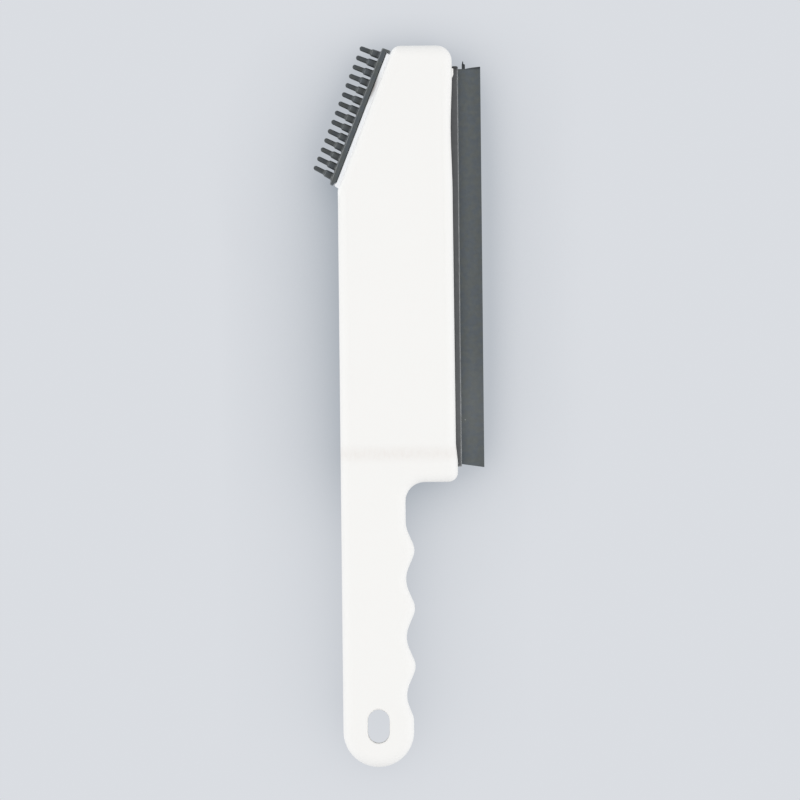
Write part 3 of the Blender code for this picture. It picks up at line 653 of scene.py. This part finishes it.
def use_group(tree, group, vector, values):
    """Outputs of a node group, used on a place with these values."""
    node = tree.nodes.new("ShaderNodeGroup")
    node.node_tree = group
    tree.links.new(vector, node.inputs["Vector"])
    for socket, value in values.items():
        node.inputs[socket].default_value = value
    return node.outputs


def toned(tree, colour, tone):
    """A colour times a slowly changing tone."""
    scaled = tree.nodes.new("ShaderNodeVectorMath")
    scaled.operation = "SCALE"
    tree.links.new(colour, scaled.inputs[0])
    tree.links.new(tone, scaled.inputs["Scale"])
    return scaled.outputs[0]


def mixed(tree, share, first, second):
    """First colour going over to the second by a share."""
    mix = tree.nodes.new("ShaderNodeMix")
    mix.data_type = "RGBA"
    tree.links.new(share, mix.inputs["Factor"])
    for socket, colour in (("A", first), ("B", second)):
        feed(tree, (*colour, 1.0) if isinstance(colour, tuple) else colour, mix.inputs[socket])
    return mix.outputs["Result"]


def lowered(tree, value, mask, depth):
    """A number taken down by a share of itself where the mask is one."""
    share = math_node(tree, "MULTIPLY_ADD", mask, -depth, 1.0)
    return math_node(tree, "MULTIPLY", value, share)


def fade(tree, value, start, end):
    """One at the start, going smoothly to nought at the end."""
    node = tree.nodes.new("ShaderNodeMapRange")
    node.interpolation_type = "SMOOTHSTEP"
    for name, number in (("Value", value), ("From Min", start), ("From Max", end),
                         ("To Min", 1.0), ("To Max", 0.0)):
        feed(tree, number, node.inputs[name])
    return node.outputs["Result"]


def bell(tree, value, middle, reach, core=0.0):
    """One within a core about the middle, falling smoothly to nought at a reach from it."""
    offset = math_node(tree, "ABSOLUTE", math_node(tree, "SUBTRACT", value, middle))
    return fade(tree, offset, core, reach)


def soft_box(tree, split, middle, half, blend):
    """One inside an upright box seen from above, falling smoothly to nought round it."""
    inside = 1.0
    for axis, centre, core in zip("XY", middle, half):
        near = bell(tree, split[axis], centre, core + blend, core)
        inside = math_node(tree, "MULTIPLY", near, inside)
    return inside


def ramp(tree, value, stops, span):
    """Number that runs smoothly through stops of place and height, over a span about
    nought."""
    share = math_node(tree, "MULTIPLY_ADD", value, 1 / span, 0.5)
    node = tree.nodes.new("ShaderNodeValToRGB")
    node.color_ramp.interpolation = "B_SPLINE"
    spots = node.color_ramp.elements
    for place, _ in stops[2:]:
        spots.new(place / span + 0.5)
    for spot, (place, height) in zip(spots, stops):
        spot.position = place / span + 0.5
        spot.color = (height, height, height, 1.0)
    tree.links.new(share, node.inputs["Fac"])
    return node.outputs["Color"]


def drawing_place(tree, place):
    """Place on the piece in the drawing frame, as a vector and as its three numbers."""
    shift = tree.nodes.new("ShaderNodeVectorMath")
    shift.operation = "SUBTRACT"
    shift.inputs[1].default_value = ORIGIN
    tree.links.new(place, shift.inputs[0])
    return shift.outputs[0], split_place(tree, shift.outputs[0])


def slant_distances(tree, drawn):
    """Distances up along the slanted side and out of it."""
    turn = tree.nodes.new("ShaderNodeMapping")
    turn.vector_type = "TEXTURE"
    turn.inputs["Location"].default_value = (SIDE_LEFT, COMB_FOOT, 0)
    turn.inputs["Rotation"].default_value = (0, 0, math.pi / 2 - COMB_ANGLE)
    tree.links.new(drawn, turn.inputs["Vector"])
    split = split_place(tree, turn.outputs[0])
    return split["X"], split["Y"]


def finish_surface(tree, shader, surface, colour, bump):
    """Give a shader its colour, and the gloss and fine relief of its grain."""
    relief = tree.nodes.new("ShaderNodeBump")
    relief.inputs["Strength"].default_value, relief.inputs["Distance"].default_value = bump
    tree.links.new(surface["Height"], relief.inputs["Height"])
    tree.links.new(relief.outputs["Normal"], shader.inputs["Normal"])
    tree.links.new(surface["Roughness"], shader.inputs["Roughness"])
    tree.links.new(colour, shader.inputs["Base Color"])


def step_shade_streaks(tree, drawn, height):
    """Streaky share of the painted shade of the step's slope from head to handle, in streaks
    like flow marks.
    """
    stretch = tree.nodes.new("ShaderNodeMapping")
    stretch.inputs["Scale"].default_value = STREAK_SCALE
    tree.links.new(drawn, stretch.inputs["Vector"])
    streaks = noise(tree, stretch.outputs[0], 1.0, *FINE_NOISE)
    return math_node(tree, "MULTIPLY", bell(tree, height, STEP_MIDDLE, STEP_REACH), streaks)


def white_plastic(grain):
    """Satin moulded white plastic with a fine spark texture, painted shade over the step from
    head to handle in streaks like flow marks, painted cool shade on the ledge with painted
    light along the crease at its inner side, and a painted soft shadow of the gap beside the
    comb pad's upper part."""
    material, tree, shader, place = new_material("satin_white_plastic")
    surface = use_group(tree, grain, place, WHITE_GRAIN)
    drawn, split = drawing_place(tree, place)
    along, out = slant_distances(tree, drawn)
    # Painted shadow of the gap between the comb pad's upper part and the ledge
    gap_shadow = math_node(tree, "MULTIPLY", bell(tree, along, GAP_SHADOW_MIDDLE, GAP_SHADOW_LENGTH),
                    bell(tree, out, LAND_RISE, GAP_SHADOW_REACH))
    # Painted shade over the step, painted light on the crease, painted cool shade on the ledge
    # and the painted shadow of the gap beside the comb pad
    colour = mixed(tree, step_shade_streaks(tree, drawn, split["Y"]), WHITE, STEP_SHADE)
    for share, mark in ((bell(tree, out, CREASE_MIDDLE, CREASE_REACH), CREASE_LIGHT),
                        (bell(tree, out, LEDGE_MIDDLE, LEDGE_REACH), LEDGE_SHADE),
                        (gap_shadow, GAP_SHADOW_GREY)):
        colour = mixed(tree, share, colour, mark)
    finish_surface(tree, shader, surface, toned(tree, colour, surface["Tone"]), WHITE_BUMP)
    return material


def rubber_hue(tree, drawn, strip):
    """Dark grey that is cloudy in hue, and greyer on the squeegee's strip."""
    cloud = bell(tree, noise(tree, drawn, CLOUD_SCALE), CLOUD_MIDDLE, CLOUD_REACH)
    return mixed(tree, strip, mixed(tree, cloud, *RUBBER_HUES), STRIP_HUE)


def dark_rubber(grain, specks, edge_highlight):
    """Matt dark grey rubber with painted shade on the comb's fingers, round the gate and at
    the blade's tip, painted highlights at the fingers' shoulders and along sharp edges, a
    paler band towards the handle and a few pale specks."""
    material, tree, shader, place = new_material("matt_dark_rubber")
    surface = use_group(tree, grain, place, RUBBER_GRAIN)
    drawn, split = drawing_place(tree, place)
    out = slant_distances(tree, drawn)[1]
    right = math_node(tree, "GREATER_THAN", split["X"], SIDE_RIGHT / 2)
    proud = math_node(tree, "GREATER_THAN", math_node(tree, "ABSOLUTE", split["Z"]), PROUD_RISE)
    strip = math_node(tree, "MULTIPLY", proud, right)
    # Painted shade round the gate, the lip and the blade's top edge, and at the blade's tip
    gate = math_node(tree, "MULTIPLY",
                     bell(tree, split["Y"], GATE_MIDDLE, GATE_REACH, GATE_CORE), right)
    tip = bell(tree, split["X"], STRIP_FACE + BLADE_REACH, TIP_REACH)
    # Painted shade on the comb's fingers, darkest at their roots, with a painted highlight at
    # their shoulders
    depth = ramp(tree, out, COMB_SHADE_AND_HIGHLIGHT, DEPTH_SPAN)
    tone = math_node(tree, "MULTIPLY", surface["Tone"], depth)
    tone = lowered(tree, lowered(tree, tone, gate, GATE_SHADE), tip, TIP_SHADE)
    # Paler band towards the handle
    pale_band = math_node(tree, "MULTIPLY", bell(tree, split["Y"], PALE_BAND_MIDDLE, PALE_BAND_REACH),
                      PALE_BAND_SHARE)
    # Painted highlight along the rubber's edges where its surface turns, on proud faces and
    # scaled with the comb's painted shade, kept off the gate and a band of the comb's plate
    kept = math_node(tree, "MAXIMUM", gate, bell(tree, out, PAD_BACK, PLATE_KEPT))
    highlight_share = math_node(tree, "SUBTRACT", math_node(tree, "MULTIPLY", proud, depth), kept,
                     clamp=True)
    edges = math_node(tree, "MULTIPLY", use_group(tree, edge_highlight, place, EDGE_HIGHLIGHT)["Mask"], highlight_share)
    colour = toned(tree, rubber_hue(tree, drawn, strip), tone)
    # Mix in the paler band, the painted edge highlights and the dust specks
    for share, pale_mark in ((pale_band, PALE_GREY), (edges, PALE_GREY),
                        (use_group(tree, specks, place, SPECKS)["Mask"], PALE_DUST)):
        colour = mixed(tree, share, colour, pale_mark)
    finish_surface(tree, shader, surface, colour, RUBBER_BUMP)
    shader.inputs["Sheen Weight"].default_value = RUBBER_SHEEN[0]
    shader.inputs["Sheen Roughness"].default_value = RUBBER_SHEEN[1]
    return material


def beside_rubber(tree, place, split):
    """One on the floor beside the raised comb pad and squeegee, falling smoothly to nought
    under the housing and towards the comb's foot."""
    along, out = slant_distances(tree, drawing_place(tree, place)[0])
    left = math_node(tree, "MULTIPLY", fade(tree, along, SHADOW_FOOT, 0.0),
                     fade(tree, out, 0.0, -SHADOW_BLEND))
    right = fade(tree, split["X"], SHADOW_RIGHT, SHADOW_RIGHT - SHADOW_BLEND)
    return math_node(tree, "MAXIMUM", left, right)


def shadow_loss(tree, place):
    """Share of light that the floor loses beside the brush: deep by the head, faint by the
    raised handle and the ends, held to a limit beside the raised rubber, and lighter where
    it is seen through the hanging slot."""
    close = tree.nodes.new("ShaderNodeAmbientOcclusion")
    close.inputs["Distance"].default_value = SHADOW_REACH
    hidden = math_node(tree, "SUBTRACT", 1.0, close.outputs["AO"])
    split = split_place(tree, place)
    depth = ramp(tree, split["Y"], SHADOW_DEPTHS, SHADOW_SPAN)
    loss = math_node(tree, "MULTIPLY", hidden, depth)
    over = math_node(tree, "MAXIMUM", math_node(tree, "SUBTRACT", loss, SHADOW_LIMIT), 0.0)
    cut = math_node(tree, "MULTIPLY", beside_rubber(tree, place, split), over)
    middle = ORIGIN + Vector((0, SLOT_RISE, 0))
    slot = soft_box(tree, split, middle[:2], SLOT_VIEW, SLOT_BLEND)
    return lowered(tree, math_node(tree, "SUBTRACT", loss, cut), slot, SLOT_LIGHT)


def show_backdrop(tree, lighting, seen, output):
    """Show one shader to rays that see or mirror the backdrop, and light the brush by the
    other."""
    path = tree.nodes.new("ShaderNodeLightPath").outputs
    direct = math_node(tree, "MAXIMUM", path["Is Camera Ray"], path["Is Glossy Ray"])
    mix = tree.nodes.new("ShaderNodeMixShader")
    tree.links.new(math_node(tree, "MAXIMUM", direct, path["Is Transmission Ray"]),
                   mix.inputs["Fac"])
    tree.links.new(lighting.outputs[0], mix.inputs[1])
    tree.links.new(seen.outputs[0], mix.inputs[2])
    tree.links.new(mix.outputs[0], tree.nodes[output].inputs["Surface"])


def floor():
    """Plain pale blue-grey floor that the brush lies on, lit from within where seen."""
    bm = bmesh.new()
    bmesh.ops.create_grid(bm, x_segments=1, y_segments=1, size=FLOOR_SIZE)
    ground = link_mesh(bm, "floor")
    ground.location.z = -FLOOR_DROP
    material, tree, shader, place = new_material("pale_floor")
    shader.inputs["Base Color"].default_value = (*FLOOR_COLOUR, 1.0)
    shader.inputs["Roughness"].default_value = FLOOR_ROUGHNESS
    glow = tree.nodes.new("ShaderNodeEmission")
    tree.links.new(mixed(tree, shadow_loss(tree, place), FLOOR_COLOUR, SHADE_COLOUR),
                   glow.inputs["Color"])
    show_backdrop(tree, shader, glow, "Material Output")
    ground.data.materials.append(material)


def sky():
    """Even fill light, with the floor's colour where it is seen directly."""
    world = bpy.data.worlds.new("fill")
    world.use_nodes = True
    bpy.context.scene.world = world
    tree = world.node_tree
    light = tree.nodes["Background"]
    light.inputs["Color"].default_value = (1.0, 1.0, 1.0, 1.0)
    light.inputs["Strength"].default_value = FILL_STRENGTH
    seen = tree.nodes.new("ShaderNodeBackground")
    seen.inputs["Color"].default_value = (*FLOOR_COLOUR, 1.0)
    show_backdrop(tree, light, seen, "World Output")


def side_light(name, side):
    """Long soft lamp low beside the brush, aimed at its middle."""
    lamp = bpy.data.lights.new(name, "AREA")
    lamp.shape = "RECTANGLE"
    lamp.size, lamp.size_y = LAMP_SIZE
    lamp.energy = LAMP_POWER
    item = bpy.data.objects.new(name, lamp)
    way = Vector((side * math.cos(LAMP_RISE), 0, math.sin(LAMP_RISE)))
    item.location = way * LAMP_DISTANCE
    item.rotation_euler = way.to_track_quat("Z", "Y").to_euler()
    item.visible_camera = False
    item.visible_glossy = False
    bpy.context.scene.collection.objects.link(item)


def camera():
    """Straight down on the brush, as in the photograph, from far off with a long lens."""
    data = bpy.data.cameras.new("camera")
    data.lens = LENS
    data.sensor_width = SENSOR
    data.clip_start = CLIP_START
    data.clip_end = CLIP_END
    distance = PHOTO_WIDTH / SENSOR * LENS
    item = bpy.data.objects.new("camera", data)
    item.location = PHOTO_MIDDLE + ORIGIN + Vector((0, 0, distance))
    item.rotation_euler = (0, 0, PHOTO_TURN)
    bpy.context.scene.collection.objects.link(item)
    bpy.context.scene.camera = item


def dress():
    """Make every piece, give it its material and fix it to the part's one body."""
    grain = grain_group()
    plastic = white_plastic(grain)
    rubber = dark_rubber(grain, specks_group(), edge_highlight_group())
    solids = whole_brush()
    finished = [(housing_half("front_shell", "front_housing", solids), plastic),
                (housing_half("rear_shell", "rear_housing", solids), plastic),
                (comb_pad(), rubber), (squeegee(), rubber)]
    for piece, material in finished:
        piece.data.materials.clear()
        piece.data.materials.append(material)
        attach(piece, "root")


camera()
floor()
sky()
side_light("left_light", -1)
side_light("right_light", 1)
dress()

bpy.context.scene.view_settings.view_transform = "Standard"
